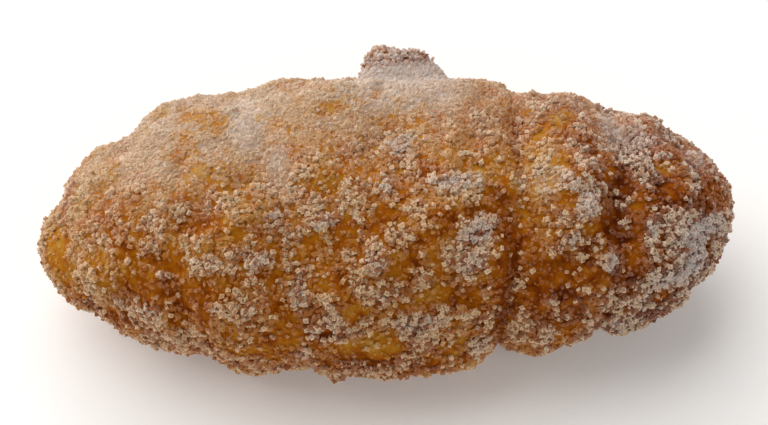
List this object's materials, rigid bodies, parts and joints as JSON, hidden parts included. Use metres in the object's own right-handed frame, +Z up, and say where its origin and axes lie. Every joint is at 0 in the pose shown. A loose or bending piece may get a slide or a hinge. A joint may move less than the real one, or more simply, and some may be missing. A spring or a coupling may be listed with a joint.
{
  "type": "custard doughnut",
  "caption": "Straight croissant-shaped roll of fried laminated dough with wraps, tapered ends and a tongue of dough at the back, crusted in granulated sugar.",
  "frame": {"origin": "on the table under the middle of the pastry's outline seen from above", "axes": "+X from the narrower tip to the blunter tip along the roll, -Y to the front side, +Z up from the table, with the tongue of dough at the upper back"},
  "size_m": [0.1482, 0.0693, 0.0465],
  "materials": {
    "crust": "golden brown fried crust, matte with a slight oily sheen on bare patches",
    "sugar": "translucent crystals of granulated sugar"
  },
  "bodies": {
    "root": {"pastry": "crust"}
  },
  "joints": []
}
